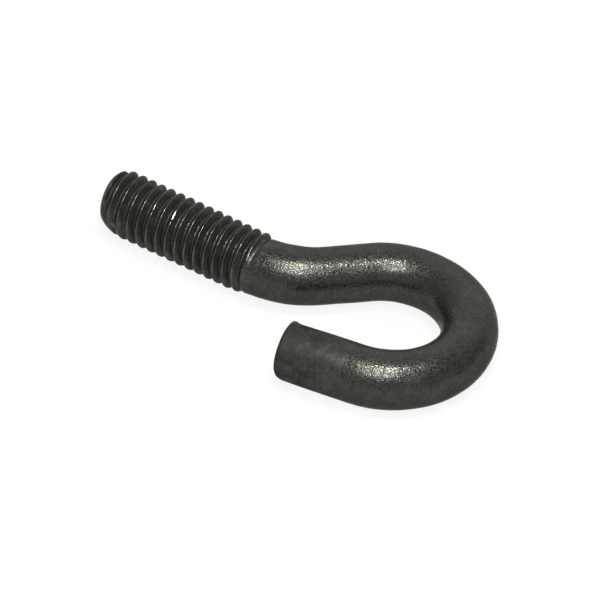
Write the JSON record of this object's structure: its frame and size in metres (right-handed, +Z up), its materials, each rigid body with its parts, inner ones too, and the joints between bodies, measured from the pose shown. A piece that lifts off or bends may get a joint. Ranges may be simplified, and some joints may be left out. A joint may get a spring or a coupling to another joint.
{
  "type": "hook bolt",
  "caption": "Bent steel hook bolt: a straight shank with a coarse rolled thread, a curved neck and an open eye that ends in a short straight tail.",
  "frame": {"origin": "centre of the open eye, on the shank's axis", "axes": "+X along the shank from its threaded end towards the eye, +Y in the plane of the bend, +Z square to that plane, so that the bolt lies flat with +Z up"},
  "size_m": [0.0612, 0.0327, 0.0094],
  "materials": {
    "dark_steel": "dark self-colour oxide over plain steel, satin with a fine grain"
  },
  "bodies": {
    "root": {"hook_bolt": "dark_steel"}
  },
  "joints": []
}
